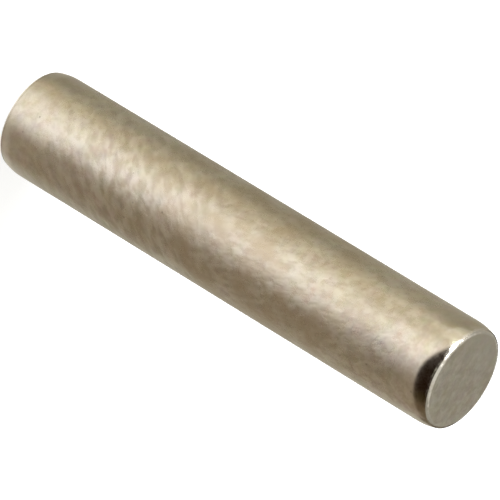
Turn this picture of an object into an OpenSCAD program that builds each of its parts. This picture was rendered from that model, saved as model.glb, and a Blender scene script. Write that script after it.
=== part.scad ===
// Hinge stop pin: one solid round pin with a ground flank, a rounded lead and a flat face at each end.
// It stands on its lower face. The origin is at the centre of that face, and +Z runs along the axis.
// All sizes are in millimetres.

/* [Pin] */
// Diameter of the ground flank
pin_d = 3.175; // [2.5:0.005:8]
// Overall length, from face to face
pin_l = 15.875; // [6:0.005:60]

/* [Ends] */
// Length of the rounded lead at each end, measured along the axis
lead_l = 0.55; // [0.2:0.01:1]
// Radius of the lead's curve, which leaves the flank as a tangent
lead_r = 1.6; // [1.4:0.05:6]
// Width that the broken edge takes off the rim of the face
edge_break = 0.07; // [0.01:0.005:0.1]

/* [Hidden] */

// Warm grey of the nickel plating
plating = "#B9AE9B";
$fn = 128;

pin_r = pin_d / 2;
// Distance of the lead's centre from the axis. It is negative where the centre lies past the axis.
lead_centre_r = pin_r - lead_r;
// Radius of the flat face: where the lead would meet the face, less the broken edge
face_r = lead_centre_r + sqrt(lead_r * lead_r - lead_l * lead_l) - edge_break;

// Room that one end leaves for the pin, drawn as a half section with the face on y = 0 and the pin below it
module end_room() {
    intersection() {
        union() {
            translate([0, -pin_l])
                square([pin_d, pin_l - lead_l]);
            translate([lead_centre_r, -lead_l])
                circle(lead_r);
        }
        // The slope of the broken edge runs at 45 degrees from the rim of the face.
        polygon([[0, 0], [face_r, 0], [face_r + pin_l, -pin_l], [0, -pin_l]]);
    }
}

// Half section of the whole pin, with the lower face on y = 0
module pin_section() {
    intersection() {
        square([pin_r, pin_l]);
        translate([0, pin_l])
            end_room();
        mirror([0, 1])
            end_room();
    }
}

module stop_pin() {
    color(plating)
        rotate_extrude()
            pin_section();
}

stop_pin();
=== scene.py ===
import math

import bmesh
import bpy
from mathutils import Matrix, Quaternion, Vector


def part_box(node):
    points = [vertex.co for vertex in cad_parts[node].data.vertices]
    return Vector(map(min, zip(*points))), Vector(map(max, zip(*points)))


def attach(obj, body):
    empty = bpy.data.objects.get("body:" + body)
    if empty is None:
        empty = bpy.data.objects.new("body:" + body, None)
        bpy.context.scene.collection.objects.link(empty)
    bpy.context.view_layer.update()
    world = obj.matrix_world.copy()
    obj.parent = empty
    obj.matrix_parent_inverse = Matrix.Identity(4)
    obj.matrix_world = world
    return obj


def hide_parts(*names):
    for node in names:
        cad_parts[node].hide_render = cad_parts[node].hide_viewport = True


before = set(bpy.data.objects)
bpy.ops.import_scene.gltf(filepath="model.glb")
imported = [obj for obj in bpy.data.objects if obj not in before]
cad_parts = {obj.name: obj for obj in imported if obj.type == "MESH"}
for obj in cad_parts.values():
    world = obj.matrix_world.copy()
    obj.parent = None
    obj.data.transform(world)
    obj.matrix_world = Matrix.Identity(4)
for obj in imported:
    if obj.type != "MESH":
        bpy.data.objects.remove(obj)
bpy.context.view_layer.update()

MM = 0.001

# Pin sizes, read from the solid that the new piece stands for
pin_low, pin_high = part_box("stop_pin")
PIN_RADIUS = pin_high.x
PIN_LENGTH = pin_high.z - pin_low.z
PIN_MIDDLE = (pin_high.z + pin_low.z) / 2

# Ends of the pin: a rounded lead that leaves the flank as a tangent, and a rounded edge round the face
LEAD_LENGTH = 0.55 * MM
LEAD_RADIUS = 1.6 * MM
EDGE_WIDTH = 0.11 * MM
FACE_BORDER = 0.03 * MM
FACE_RING = 0.45 * PIN_RADIUS
FLANK_HALF = PIN_LENGTH / 2 - LEAD_LENGTH
FLANK_TOP = PIN_MIDDLE + FLANK_HALF

# How finely the pin is modelled
SIDES = 192
FLANK_RINGS = 39
LEAD_STEPS = 12
EDGE_STEPS = 5
SMOOTH_ANGLE = math.radians(40)
TOUCHING = 0.0001 * MM

# Height of the surface pattern, in millimetres from its lowest to its highest point
MARKS_HEIGHT = 0.010
MOTTLE_HEIGHT = 0.008
CLOUD_HEIGHT = 0.030
GRAIN_HEIGHT = 0.0012
NICKS_HEIGHT = 0.018

# Marks on the flank: degrees from the pin's round towards its length, how far they are drawn out, and scale
GROUND_MARKS = (37, 0.56, 4.2 / MM)
RUB_MARKS = (104, 0.55, 5.0 / MM)
MARKS_APART = 5.0 * MM

# Scale of the plate's other patterns
CLOUD_SCALE = 0.8 / MM
SMEAR_SCALE = 0.9 / MM
PIT_SCALE = 1.7 / MM
TINT_SCALE = 2.8 / MM
MOTTLE_SCALE = 4.2 / MM
NICKS_SCALE = 5.0 / MM
GRAIN_SCALE = 14.0 / MM

# Middle level of a pattern, where it neither darkens nor lightens
EVEN = 0.5

# Colours of the plate
DULL_NICKEL = (0.57, 0.51, 0.42, 1.0)
PALE_NICKEL = (0.77, 0.715, 0.62, 1.0)
# Rim colour: lighter for wear and for a painted highlight along the rim
RIM_WEAR_AND_HIGHLIGHT = (0.77, 0.73, 0.66, 1.0)
# Colour of the warm, darker band round the middle
WARM_BAND = (0.595, 0.503, 0.38, 1.0)
PIT_BROWN = (0.16, 0.13, 0.10, 1.0)
TINT_SHARE = 0.14
PIT_SHARE = 0.35
RIM_ROUGHNESS = 0.24

# Floor: the paper's grey under the lamps, and its own light where it is seen
PAPER_GREY = (0.5, 0.5, 0.5, 1.0)
PAPER_GLOW = 0.75
FLOOR_SIZE = 6.0

# Colours of the glowing cards that paint the reflections in the metal
PALE = (0.80, 0.77, 0.71)
SLATE = (0.33, 0.31, 0.258)
OLIVE = (0.30, 0.278, 0.21)
TAN = (0.57, 0.515, 0.385)
CREAM = (1.0, 0.965, 0.88)
WHITE = (1.0, 0.965, 0.94)
BROWN = (0.285, 0.242, 0.186)
GREY = (0.41, 0.39, 0.335)
BLACK = (0.012, 0.004, 0.0005)
SOOT = (0.036, 0.023, 0.007)
UMBER = (0.14, 0.105, 0.064)
EARTH = (0.19, 0.165, 0.125)
IVORY = (1.0, 0.945, 0.80)
STRAW = (0.93, 0.875, 0.72)
LINEN = (0.92, 0.88, 0.77)
SAND = (0.72, 0.68, 0.575)
PUTTY = (0.53, 0.50, 0.425)
STONE = (0.42, 0.398, 0.345)
ASH = (0.41, 0.39, 0.34)
BRIGHT = (1.0, 1.0, 1.0)

# Grades of each kind of card's painted reflection: degrees round the pin from the camera's side, and the
# colour there
RING_GRADES = (
    (180, PALE),
    (164, SLATE),
    (110, OLIVE),
    (62, TAN),
    (22, CREAM),
    (5, WHITE),
    (-56, BROWN),
    (-100, BROWN),
    (-142, GREY),
    (-164, GREY),
    (-180, PALE),
)
BLACK_GRADES = (
    (60, BLACK),
    (-58, BLACK),
    (-76, SOOT),
    (-101, UMBER),
    (-160, EARTH),
)
LIGHT_GRADES = (
    (52, IVORY),
    (62, STRAW),
    (76, LINEN),
    (86, SAND),
    (98, PUTTY),
    (112, STONE),
    (130, ASH),
)

# Cards: how fine they are, and how high they lie over the floor
CARD_SIDES = 180
RING_SIDES = 96
RING_LIFT = 0.02 * MM
CARD_LIFT = 0.3 * MM
CARD_CURVE = 1.5

# Soft surround
SURROUND_COLOUR = (1.0, 0.98, 0.87, 1.0)
SURROUND_STRENGTH = 0.38

# Photograph: its size, the camera's height over the pin and where the upper face appears
PHOTO_PIXELS = 500
VIEW_ELEVATION = math.radians(29.6)
AXIS_SLOPE = math.radians(31.36)
FACE_PIXEL = (463.2, 379.95)
FACE_DISTANCE = 193.6 * MM
FOCAL_PIXELS = 7156
SENSOR_WIDTH = 36
NEAREST_SEEN = 0.01
FARTHEST_SEEN = 20


def choose(points, test):
    """Selects the faces of the mesh in edit mode whose centre and normal pass the test."""
    bpy.ops.mesh.select_all(action="DESELECT")
    mesh = bmesh.from_edit_mesh(points)
    for face in mesh.faces:
        face.select = test(face.calc_center_median(), face.normal)
    mesh.select_flush_mode()
    bmesh.update_edit_mesh(points)


def choose_edges(points, test):
    """Selects the edges of the mesh in edit mode whose two ends pass the test."""
    bpy.ops.mesh.select_all(action="DESELECT")
    bpy.ops.mesh.select_mode(type="EDGE")
    mesh = bmesh.from_edit_mesh(points)
    for edge in mesh.edges:
        edge.select = test(edge.verts[0].co, edge.verts[1].co)
    mesh.select_flush_mode()
    bmesh.update_edit_mesh(points)


def lead_radius_at(height):
    """Radius of the pin at a height above the end of the flank."""
    return PIN_RADIUS - LEAD_RADIUS + math.sqrt(LEAD_RADIUS ** 2 - height ** 2)


def pull_out_lead(points, side):
    """Draws the end face out along the lead's curve in steps of equal turn."""
    choose(points, lambda centre, normal: normal.z * side > 0.9)
    full_turn = math.asin(LEAD_LENGTH / LEAD_RADIUS)
    height = 0
    radius = PIN_RADIUS
    for step in range(1, LEAD_STEPS + 1):
        next_height = LEAD_RADIUS * math.sin(full_turn * step / LEAD_STEPS)
        next_radius = lead_radius_at(next_height)
        rise = (0, 0, side * (next_height - height))
        bpy.ops.mesh.extrude_region_move(TRANSFORM_OT_translate={"value": rise})
        shrink = next_radius / radius
        bpy.ops.transform.resize(value=(shrink, shrink, 1))
        height = next_height
        radius = next_radius


def round_rims(points):
    """Rounds the edge between each lead and its face."""
    rim_height = PIN_LENGTH / 2 - 0.001 * MM

    def on_rim(a, b):
        return min(abs(a.z - PIN_MIDDLE), abs(b.z - PIN_MIDDLE)) > rim_height

    choose_edges(points, on_rim)
    bpy.ops.mesh.bevel(offset=EDGE_WIDTH, segments=EDGE_STEPS, profile=0.5, affect="EDGES")


def close_faces(points):
    """Gives each flat face a narrow border, a ring and a centre point."""
    bpy.ops.mesh.select_mode(type="FACE")
    choose(points, lambda centre, normal: abs(normal.z) > 0.999 and centre.to_2d().length < 0.01 * MM)
    bpy.ops.mesh.inset(thickness=FACE_BORDER)
    bpy.ops.mesh.inset(thickness=FACE_RING)
    bpy.ops.mesh.poke()


def make_pin():
    """Models the pin from a cylinder as long as its flank."""
    bpy.ops.object.select_all(action="DESELECT")
    bpy.ops.mesh.primitive_cylinder_add(
        vertices=SIDES,
        radius=PIN_RADIUS,
        depth=PIN_LENGTH - 2 * LEAD_LENGTH,
        location=(0, 0, PIN_MIDDLE),
    )
    pin = bpy.context.object
    pin.name = "plated_pin"
    bpy.ops.object.transform_apply(location=True, rotation=True, scale=True)
    points = pin.data
    bpy.ops.object.mode_set(mode="EDIT")
    choose_edges(points, lambda a, b: abs(a.z - b.z) > 1 * MM)
    bpy.ops.mesh.subdivide(number_cuts=FLANK_RINGS)
    bpy.ops.mesh.select_mode(type="FACE")
    pull_out_lead(points, 1)
    pull_out_lead(points, -1)
    round_rims(points)
    close_faces(points)
    bpy.ops.mesh.select_all(action="SELECT")
    bpy.ops.mesh.remove_doubles(threshold=TOUCHING)
    bpy.ops.mesh.normals_make_consistent(inside=False)
    bpy.ops.object.mode_set(mode="OBJECT")
    bpy.ops.object.shade_smooth_by_angle(angle=SMOOTH_ANGLE)
    return pin


def node(tree, kind, **settings):
    """Adds a node and sets its options."""
    made = tree.nodes.new(kind)
    for name, value in settings.items():
        setattr(made, name, value)
    return made


def feed(tree, value, socket):
    """Links a node's output to a socket, or sets a plain value on it."""
    if value is None:
        return
    if isinstance(value, bpy.types.NodeSocket):
        tree.links.new(value, socket)
    else:
        socket.default_value = value


def number(tree, operation, first, second=None, third=None):
    """Adds a calculation on numbers or on the outputs of other nodes."""
    made = node(tree, "ShaderNodeMath", operation=operation)
    for place, value in enumerate((first, second, third)):
        feed(tree, value, made.inputs[place])
    return made.outputs[0]


def product(tree, first, *others):
    """Multiplies a value by one or more others."""
    for other in others:
        first = number(tree, "MULTIPLY", first, other)
    return first


def remainder(tree, share):
    """What a share leaves of the whole."""
    return number(tree, "SUBTRACT", 1.0, share)


def away_from(tree, value, middle):
    """How far a value lies from a middle, on either side."""
    return number(tree, "ABSOLUTE", number(tree, "SUBTRACT", value, middle))


def from_axis(tree, x, y):
    """Distance of a point from the pin's axis."""
    squares = number(tree, "ADD", product(tree, x, x), product(tree, y, y))
    return number(tree, "SQRT", squares)


def spread(tree, value, low, high, to_low=0.0, to_high=1.0):
    """Maps a value from one range to another with a smooth run."""
    made = node(tree, "ShaderNodeMapRange", interpolation_type="SMOOTHSTEP")
    feed(tree, value, made.inputs["Value"])
    made.inputs["From Min"].default_value = low
    made.inputs["From Max"].default_value = high
    made.inputs["To Min"].default_value = to_low
    made.inputs["To Max"].default_value = to_high
    return made.outputs["Result"]


def mix_numbers(tree, share, first, second):
    """Mixes two numbers by a share from 0 to 1."""
    made = node(tree, "ShaderNodeMix", data_type="FLOAT")
    feed(tree, share, made.inputs[0])
    feed(tree, first, made.inputs[2])
    feed(tree, second, made.inputs[3])
    return made.outputs[0]


def blend(tree, share, first, second, blend_type="MIX"):
    """Mixes two colours by a share from 0 to 1."""
    made = node(tree, "ShaderNodeMix", data_type="RGBA", blend_type=blend_type)
    feed(tree, share, made.inputs[0])
    feed(tree, first, made.inputs[6])
    feed(tree, second, made.inputs[7])
    return made.outputs[2]


def new_material(name):
    """Makes an empty material with its output node."""
    material = bpy.data.materials.new(name)
    material.use_nodes = True
    tree = material.node_tree
    tree.nodes.clear()
    output = node(tree, "ShaderNodeOutputMaterial")
    return material, tree, output


def point_on_object(tree):
    """The point on the object, as one output and as its three numbers."""
    where = node(tree, "ShaderNodeTexCoord").outputs["Object"]
    parts = node(tree, "ShaderNodeSeparateXYZ")
    feed(tree, where, parts.inputs[0])
    return where, tuple(parts.outputs)


def noise(tree, vector, scale, detail=2.0, roughness=0.5, distortion=0.0):
    """Adds a cloudy pattern of the given scale."""
    made = node(tree, "ShaderNodeTexNoise")
    feed(tree, vector, made.inputs["Vector"])
    made.inputs["Scale"].default_value = scale
    made.inputs["Detail"].default_value = detail
    made.inputs["Roughness"].default_value = roughness
    made.inputs["Distortion"].default_value = distortion
    return made


def patches(tree, vector, scale, **settings):
    """Levels of a cloudy pattern, from 0 to 1."""
    return noise(tree, vector, scale, **settings).outputs["Fac"]


def marks_from(tree, place, sign, degrees, stretch, scale):
    """Marks that lean round the pin, with their seam on the far side from where they start. The sign is 1 for
    a start at the front and -1 for one at the back."""
    x, y, z = place
    angle = number(tree, "ARCTAN2", product(tree, x, sign), product(tree, y, -sign))
    around = product(tree, angle, PIN_RADIUS)
    lean = math.radians(degrees)
    along = number(tree, "MULTIPLY_ADD", z, math.sin(lean), product(tree, around, math.cos(lean)))
    over = number(tree, "MULTIPLY_ADD", z, math.cos(lean), product(tree, around, -math.sin(lean)))
    spot = node(tree, "ShaderNodeCombineXYZ")
    feed(tree, product(tree, along, stretch), spot.inputs["X"])
    feed(tree, over, spot.inputs["Y"])
    feed(tree, MARKS_APART * sign, spot.inputs["Z"])
    return patches(tree, spot.outputs[0], scale, detail=1.8, distortion=0.2)


def leaning_marks(tree, place, degrees, stretch, scale):
    """Marks all round the pin, faded from one start to the other at its sides."""
    front = marks_from(tree, place, 1, degrees, stretch, scale)
    back = marks_from(tree, place, -1, degrees, stretch, scale)
    side = spread(tree, place[1], -0.5 * PIN_RADIUS, 0.5 * PIN_RADIUS)
    return mix_numbers(tree, side, front, back)


def flank_marks(tree, place):
    """Grinding marks that lean round the lower half, and rub marks that run along the upper half."""
    ground = leaning_marks(tree, place, *GROUND_MARKS)
    drawn = leaning_marks(tree, place, *RUB_MARKS)
    lower = spread(tree, place[2], 0.56 * PIN_LENGTH, 0.40 * PIN_LENGTH)
    return mix_numbers(tree, lower, drawn, ground)


def small_pits(tree, where):
    """A few round pits, in some of the cells of a coarse pattern."""
    cells = node(tree, "ShaderNodeTexVoronoi")
    feed(tree, where, cells.inputs["Vector"])
    cells.inputs["Scale"].default_value = PIT_SCALE
    spot = spread(tree, cells.outputs["Distance"], 0.07, 0.03)
    parts = node(tree, "ShaderNodeSeparateColor")
    feed(tree, cells.outputs["Color"], parts.inputs[0])
    chosen = number(tree, "GREATER_THAN", parts.outputs[0], 0.6)
    return product(tree, spot, chosen)


def rubbed_smooth(tree, x, z):
    """How far the flank is rubbed smooth: one side more towards its upper end, the other only near its lower
    end."""
    upper = spread(tree, z, 0.4 * PIN_LENGTH, 0.65 * PIN_LENGTH, 0.3, 0.5)
    rubbed = product(tree, spread(tree, x, 0.1 * PIN_RADIUS, -0.6 * PIN_RADIUS), upper)
    far_side = spread(tree, x, -0.5 * PIN_RADIUS, -0.8 * PIN_RADIUS, 0.0, 0.3)
    rubbed = number(tree, "ADD", rubbed, far_side)
    low = spread(tree, z, 0.32 * PIN_LENGTH, 0.16 * PIN_LENGTH, 0.0, 0.35)
    low_side = product(tree, spread(tree, x, 0.15 * PIN_RADIUS, 0.5 * PIN_RADIUS), low)
    return number(tree, "ADD", rubbed, low_side)


def plate_pattern(tree, z, end, rubbed, marks, mottle, smears):
    """Light and dark of the plate. The marks show most in the lower half, the mottle elsewhere, and both show
    little on the ends and where the flank is rubbed."""
    from_deepest = away_from(tree, z, 0.36 * PIN_LENGTH)
    marks_share = spread(tree, from_deepest, 4.0 * MM, 1.5 * MM, 0.5, 1.0)
    marks_share = product(tree, marks_share, remainder(tree, end))
    pattern = mix_numbers(tree, marks_share, mottle, marks)
    contrast = spread(tree, z, 0.4 * PIN_LENGTH, 0.6 * PIN_LENGTH, 1.0, 1.2)
    pattern = number(tree, "MULTIPLY_ADD", number(tree, "SUBTRACT", pattern, EVEN), contrast, EVEN)
    smear_share = spread(tree, z, 0.6 * PIN_LENGTH, 0.3 * PIN_LENGTH, 0.24, 0.36)
    pattern = number(tree, "MULTIPLY_ADD", number(tree, "SUBTRACT", smears, EVEN), smear_share, pattern)
    pattern = mix_numbers(tree, product(tree, end, 0.55), pattern, EVEN)
    return mix_numbers(tree, rubbed, pattern, EVEN)


def tarnish_and_warm_band(tree, where, z, smears, tone):
    """Faint patches of pink and green, and a warm, darker band round the middle, broken up by the smears."""
    tints = noise(tree, where, TINT_SCALE, detail=3.0).outputs["Color"]
    tone = blend(tree, TINT_SHARE, tone, tints, blend_type="OVERLAY")
    warm_band = spread(tree, away_from(tree, z, PIN_MIDDLE + 1.0 * MM), 6.0 * MM, 1.2 * MM, 0.06, 0.54)
    warm_band = product(tree, warm_band, spread(tree, smears, 0.62, 0.36, 0.2, 1.5))
    return blend(tree, warm_band, tone, WARM_BAND)


def satin_nickel():
    """Satin nickel plate on ground steel: leaning marks, a mottled plate, small pits and polished ends."""
    material, tree, output = new_material("satin_nickel")
    where, place = point_on_object(tree)
    x, y, z = place

    # Share of the surface that belongs to an end, past the flank
    from_middle = away_from(tree, z, PIN_MIDDLE)
    end = spread(tree, from_middle, FLANK_HALF - 1.3 * MM, FLANK_HALF + 0.1 * MM)

    marks = flank_marks(tree, place)
    cloud = patches(tree, where, CLOUD_SCALE, detail=1.0)
    smears = patches(tree, where, SMEAR_SCALE)
    mottle = patches(tree, where, MOTTLE_SCALE, detail=4.0, roughness=0.6, distortion=0.25)
    grain = patches(tree, where, GRAIN_SCALE, detail=1.0)
    pits = small_pits(tree, where)
    rubbed = rubbed_smooth(tree, x, z)

    pattern = plate_pattern(tree, z, end, rubbed, marks, mottle, smears)
    tone = blend(tree, spread(tree, pattern, 0.36, 0.64), DULL_NICKEL, PALE_NICKEL)
    tone = tarnish_and_warm_band(tree, where, z, smears, tone)
    tone = blend(tree, product(tree, pits, PIT_SHARE), tone, PIT_BROWN)

    # The edge round the face is lighter: worn bright, and a painted highlight along the rim
    near_face = spread(tree, from_middle, PIN_LENGTH / 2 - 0.12 * MM, PIN_LENGTH / 2 - 0.05 * MM)
    near_edge = spread(tree, from_axis(tree, x, y), PIN_RADIUS - 0.22 * MM, PIN_RADIUS - 0.16 * MM)
    rim = product(tree, near_face, near_edge)
    rim_wear_and_highlight = product(tree, rim, spread(tree, mottle, 0.3, 0.6, 0.2, 0.8))
    tone = blend(tree, rim_wear_and_highlight, tone, RIM_WEAR_AND_HIGHLIGHT)

    rough_flank = spread(tree, mottle, 0.3, 0.7, 0.25, 0.33)
    rough_end = spread(tree, mottle, 0.3, 0.7, 0.16, 0.20)
    rough_end = mix_numbers(tree, rim, rough_end, RIM_ROUGHNESS)

    # Height of the pattern, less where the flank is rubbed and towards the ends, with nicks in the rim
    height = product(tree, marks, MARKS_HEIGHT)
    height = number(tree, "MULTIPLY_ADD", mottle, MOTTLE_HEIGHT, height)
    height = number(tree, "MULTIPLY_ADD", cloud, CLOUD_HEIGHT, height)
    height = number(tree, "MULTIPLY_ADD", grain, GRAIN_HEIGHT, height)
    flank_share = remainder(tree, product(tree, end, 0.9))
    smoothed = spread(tree, z, FLANK_TOP - 2.4 * MM, FLANK_TOP - 0.3 * MM, 1.0, 0.25)
    flank_share = product(tree, flank_share, remainder(tree, rubbed), smoothed)
    height = product(tree, height, flank_share)
    nicks = number(tree, "SUBTRACT", patches(tree, where, NICKS_SCALE), EVEN)
    height = number(tree, "MULTIPLY_ADD", product(tree, rim, nicks), NICKS_HEIGHT, height)
    bump = node(tree, "ShaderNodeBump")
    feed(tree, height, bump.inputs["Height"])
    bump.inputs["Strength"].default_value = 1.0
    bump.inputs["Distance"].default_value = 1.0 * MM

    metal = node(tree, "ShaderNodeBsdfPrincipled")
    metal.inputs["Metallic"].default_value = 1.0
    feed(tree, tone, metal.inputs["Base Color"])
    feed(tree, mix_numbers(tree, end, rough_flank, rough_end), metal.inputs["Roughness"])
    feed(tree, bump.outputs[0], metal.inputs["Normal"])
    feed(tree, metal.outputs[0], output.inputs["Surface"])
    return material


def floor_paper():
    """White paper that shows white to the eye and in the metal, and still takes the pin's shadow."""
    material, tree, output = new_material("floor_paper")
    paper = node(tree, "ShaderNodeBsdfDiffuse")
    paper.inputs["Color"].default_value = PAPER_GREY
    path = node(tree, "ShaderNodeLightPath")
    seen = number(tree, "MAXIMUM", path.outputs["Is Camera Ray"], path.outputs["Is Glossy Ray"])
    seen = number(tree, "MAXIMUM", seen, path.outputs["Is Transmission Ray"])
    glow = node(tree, "ShaderNodeEmission")
    feed(tree, product(tree, seen, PAPER_GLOW), glow.inputs["Strength"])
    both = node(tree, "ShaderNodeAddShader")
    feed(tree, paper.outputs[0], both.inputs[0])
    feed(tree, glow.outputs[0], both.inputs[1])
    feed(tree, both.outputs[0], output.inputs["Surface"])
    return material


def plain_card(name, colour, strength):
    """A glowing card of one even tone, a painted reflection for the metal."""
    material, tree, output = new_material(name)
    glow = node(tree, "ShaderNodeEmission")
    glow.inputs["Color"].default_value = (*colour, 1.0)
    glow.inputs["Strength"].default_value = strength
    feed(tree, glow.outputs[0], output.inputs["Surface"])
    return material


def mirrored_angle(tree, x, y, out, turn):
    """Angle round the pin at which the flank mirrors a card's point. The turn shifts it far from the pin."""
    around = number(tree, "ARCTAN2", product(tree, x, -1), product(tree, y, -1))
    # A round pin mirrors what lies close to its foot at a narrower angle, so the grades widen there
    widen = number(tree, "DIVIDE", out, number(tree, "MULTIPLY_ADD", out, 2, -PIN_RADIUS))
    half = product(tree, around, widen)
    offset = number(tree, "DIVIDE", product(tree, number(tree, "SINE", half), PIN_RADIUS), out)
    seen = number(tree, "ADD", around, number(tree, "ARCSINE", offset))
    shift = spread(tree, out, 22 * MM, 27 * MM, 0, math.radians(turn))
    shift = product(tree, shift, spread(tree, around, 0.5, -0.2, 0.3, 1.0))
    seen = number(tree, "ADD", seen, shift)
    # Close to the foot the painted light part of the reflection reaches further round
    lift = spread(tree, out, 4 * MM, 2 * MM, 0, math.radians(-9))
    lift = product(tree, lift, spread(tree, seen, 0.1, 0.8), spread(tree, seen, 1.0, 1.6, 1.0, -0.3))
    return number(tree, "ADD", seen, lift)


def grade_colour(tree, seen, grades):
    """Colour of a card at an angle round the pin."""
    ramp = node(tree, "ShaderNodeValToRGB")
    ramp.color_ramp.interpolation = "EASE"
    feed(tree, number(tree, "MULTIPLY_ADD", seen, -0.5 / math.pi, 0.5), ramp.inputs["Fac"])
    stops = ramp.color_ramp.elements
    while len(stops) < len(grades):
        stops.new(0.5)
    for stop, (degrees, colour) in zip(stops, sorted(grades, key=lambda grade: -grade[0])):
        stop.position = 0.5 - degrees / 360
        stop.color = (*colour, 1.0)
    return ramp.outputs["Color"]


def card_face(name, grades, strength, turn=0, cover=1.0):
    """A card's glow, a painted reflection for the metal, graded round the pin and paler at its foot. The turn
    is how many degrees the grades shift far from the pin, and the cover is the share of what lies behind that
    the card hides."""
    material, tree, output = new_material(name)
    x, y = point_on_object(tree)[1][:2]
    out = from_axis(tree, x, y)
    seen = mirrored_angle(tree, x, y, out, turn)
    foot = spread(tree, out, PIN_RADIUS + 0.6 * MM, PIN_RADIUS + 0.1 * MM, 0.0, 0.2)
    foot = product(tree, foot, spread(tree, seen, 0.9, 1.6, 1.0, 0.4))
    colour = blend(tree, foot, grade_colour(tree, seen, grades), (*PALE, 1.0))
    level = spread(tree, out, 2 * MM, 8 * MM, 1.05 * strength, strength)
    level = product(tree, level, spread(tree, out, 19 * MM, 25 * MM, 1.0, 1.12))
    glow = node(tree, "ShaderNodeEmission")
    feed(tree, colour, glow.inputs["Color"])
    feed(tree, level, glow.inputs["Strength"])
    veil = node(tree, "ShaderNodeMixShader")
    veil.inputs[0].default_value = cover
    feed(tree, node(tree, "ShaderNodeBsdfTransparent").outputs[0], veil.inputs[1])
    feed(tree, glow.outputs[0], veil.inputs[2])
    feed(tree, veil.outputs[0], output.inputs["Surface"])
    return material


def only_in_metal(card):
    """Keeps a card out of the picture and off the floor, so that only the metal shows it, as a painted
    reflection.
    """
    card.visible_camera = False
    card.visible_diffuse = False
    card.visible_shadow = False
    card.visible_transmission = False


def lay_ring(name, inner, outer, material):
    """A flat ring of card that lies round the foot of the pin."""
    bpy.ops.object.select_all(action="DESELECT")
    bpy.ops.mesh.primitive_circle_add(vertices=RING_SIDES, radius=inner, location=(0, 0, RING_LIFT))
    ring = bpy.context.object
    ring.name = name
    bpy.ops.object.mode_set(mode="EDIT")
    bpy.ops.mesh.select_mode(type="EDGE")
    bpy.ops.mesh.select_all(action="SELECT")
    bpy.ops.mesh.extrude_region()
    grow = outer / inner
    bpy.ops.transform.resize(value=(grow, grow, 1))
    bpy.ops.object.mode_set(mode="OBJECT")
    ring.data.materials.append(material)
    only_in_metal(ring)


def stand_card(name, distance, middle, reach, foot, rise, top, material):
    """A card that stands round the pin with a curved lower edge. Directions are degrees seen from the upper
    end: its middle and reach to each side, the foot's tilt in the middle, its rise at each end, and the top's
    tilt."""
    bpy.ops.object.select_all(action="DESELECT")
    bpy.ops.mesh.primitive_circle_add(vertices=CARD_SIDES, radius=distance, location=(0, 0, 0))
    card = bpy.context.object
    card.name = name
    bpy.ops.object.mode_set(mode="EDIT")
    bpy.ops.mesh.select_mode(type="VERT")
    bpy.ops.mesh.select_all(action="DESELECT")
    mesh = bmesh.from_edit_mesh(card.data)
    for point in mesh.verts:
        turn = math.degrees(math.atan2(-point.co.x, -point.co.y)) - middle
        end = 0 if turn < 0 else 1
        share = turn / reach[end]
        tilt = foot + rise[end] * abs(share) ** CARD_CURVE
        point.co.z = max(CARD_LIFT, pin_high.z + distance * math.tan(math.radians(tilt)))
        point.select = abs(share) > 1
    mesh.select_flush_mode()
    bmesh.update_edit_mesh(card.data)
    bpy.ops.mesh.delete(type="VERT")
    bpy.ops.mesh.select_all(action="SELECT")
    bpy.ops.mesh.extrude_region()
    mesh = bmesh.from_edit_mesh(card.data)
    for point in mesh.verts:
        if point.select:
            point.co.z = pin_high.z + distance * math.tan(math.radians(top))
    bmesh.update_edit_mesh(card.data)
    bpy.ops.object.mode_set(mode="OBJECT")
    card.data.materials.append(material)
    only_in_metal(card)


def make_stage():
    """Lays the floor and sets the glowing cards that paint the reflections in the metal."""
    bpy.ops.object.select_all(action="DESELECT")
    bpy.ops.mesh.primitive_plane_add(size=FLOOR_SIZE, location=(0, 0, 0))
    floor = bpy.context.object
    floor.name = "floor"
    floor.data.materials.append(floor_paper())

    # Painted reflection on the flank: light in front, tan and olive on one side, and brown and grey on the
    # other
    ring_face = card_face("graded_ring", RING_GRADES, 1.14, turn=12)
    lay_ring("graded_ring", 1.0 * MM, 400 * MM, ring_face)

    # Painted reflection of a dark crescent on the lead, with a soft edge and a brown end
    black_face = card_face("black_card", BLACK_GRADES, 1.0)
    stand_card("black_card", 32 * MM, -27, (133, 70), -24.5, (18, 30), 14, black_face)
    edge_face = card_face("soft_edge_card", BLACK_GRADES, 1.0, cover=0.45)
    stand_card("soft_edge_card", 31 * MM, -27, (133, 70), -27.5, (18, 30), 12, edge_face)
    stand_card("brown_card", 33 * MM, -146, (26, 20), -20, (-4, 0), 10, black_face)

    # Painted light reflections on one side of the lead and on its rim, with the white high card adding to the
    # rim's glint
    light_face = card_face("light_card", LIGHT_GRADES, 0.95)
    stand_card("low_light_card", 30 * MM, 58, (8, 18), -33, (3, 0), 4, light_face)
    stand_card("tall_light_card", 40 * MM, 76, (1, 42), -27, (0, 51), 55, light_face)
    stand_card("back_light_card", 44 * MM, 125, (18, 30), -15, (0, 0), 25, light_face)
    high_face = plain_card("high_light_card", BRIGHT, 1.7)
    stand_card("high_light_card", 38 * MM, 76, (15, 10), 10, (0, 0), 50, high_face)


def hang_softbox(name, degrees, elevation, distance, width, height, brightness, lean=0):
    """Hangs a soft lamp that faces the pin. Degrees count from the camera's side, and the lean turns the lamp
    about the line to the pin."""
    data = bpy.data.lights.new(name, "AREA")
    data.shape = "RECTANGLE"
    data.size = width
    data.size_y = height
    data.energy = brightness * math.pi * width * height
    lamp = bpy.data.objects.new(name, data)
    around = math.radians(degrees)
    up = math.radians(elevation)
    away = Vector((-math.sin(around) * math.cos(up), -math.cos(around) * math.cos(up), math.sin(up)))
    lamp.location = Vector((0, 0, PIN_MIDDLE)) + away * distance
    leaning = Quaternion((0, 0, 1), math.radians(lean))
    lamp.rotation_euler = (away.to_track_quat("Z", "Y") @ leaning).to_euler()
    bpy.context.scene.collection.objects.link(lamp)


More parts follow.
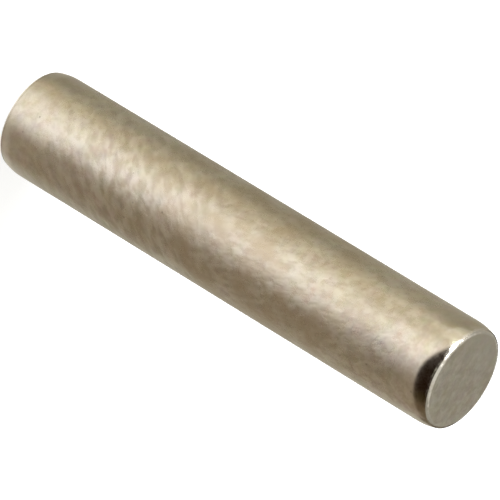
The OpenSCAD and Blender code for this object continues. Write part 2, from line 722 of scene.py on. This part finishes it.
def make_light():
    """Sets a soft surround, one large lamp overhead, and two small lamps at one side for the rim's glint."""
    world = bpy.data.worlds.new("soft_surround")
    world.use_nodes = True
    surround = world.node_tree.nodes["Background"]
    surround.inputs["Color"].default_value = SURROUND_COLOUR
    surround.inputs["Strength"].default_value = SURROUND_STRENGTH
    bpy.context.scene.world = world
    hang_softbox("overhead_softbox", 90, 86, 0.5, 0.9, 0.69, 0.36)
    hang_softbox("side_softbox", 54, 34, 0.35, 0.12, 0.38, 12.0, lean=12)
    hang_softbox("top_softbox", 80, 66, 0.35, 0.09, 0.15, 10.0, lean=42)


def make_camera():
    """Places the camera so that the upper face appears where the photograph has it."""
    ahead = Vector((0, math.cos(VIEW_ELEVATION), -math.sin(VIEW_ELEVATION)))
    side = Vector((1, 0, 0))
    rise = Vector((0, math.sin(VIEW_ELEVATION), math.cos(VIEW_ELEVATION)))
    right = rise * math.cos(AXIS_SLOPE) - side * math.sin(AXIS_SLOPE)
    down = rise * math.sin(AXIS_SLOPE) + side * math.cos(AXIS_SLOPE)
    shift_right = (FACE_PIXEL[0] - PHOTO_PIXELS / 2) / FOCAL_PIXELS * FACE_DISTANCE
    shift_down = (FACE_PIXEL[1] - PHOTO_PIXELS / 2) / FOCAL_PIXELS * FACE_DISTANCE
    upper_face = Vector((0, 0, pin_high.z))
    place = upper_face - right * shift_right - down * shift_down - ahead * FACE_DISTANCE
    data = bpy.data.cameras.new("camera")
    data.sensor_width = SENSOR_WIDTH
    data.lens = FOCAL_PIXELS * SENSOR_WIDTH / PHOTO_PIXELS
    data.clip_start = NEAREST_SEEN
    data.clip_end = FARTHEST_SEEN
    camera = bpy.data.objects.new("camera", data)
    turn = Matrix((right, -down, -ahead)).transposed().to_4x4()
    camera.matrix_world = Matrix.Translation(place) @ turn
    scene = bpy.context.scene
    scene.collection.objects.link(camera)
    scene.camera = camera


pin = make_pin()
pin.data.materials.append(satin_nickel())
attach(pin, "root")
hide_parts("stop_pin")

make_stage()
make_light()
make_camera()
bpy.context.scene.view_settings.view_transform = "Standard"
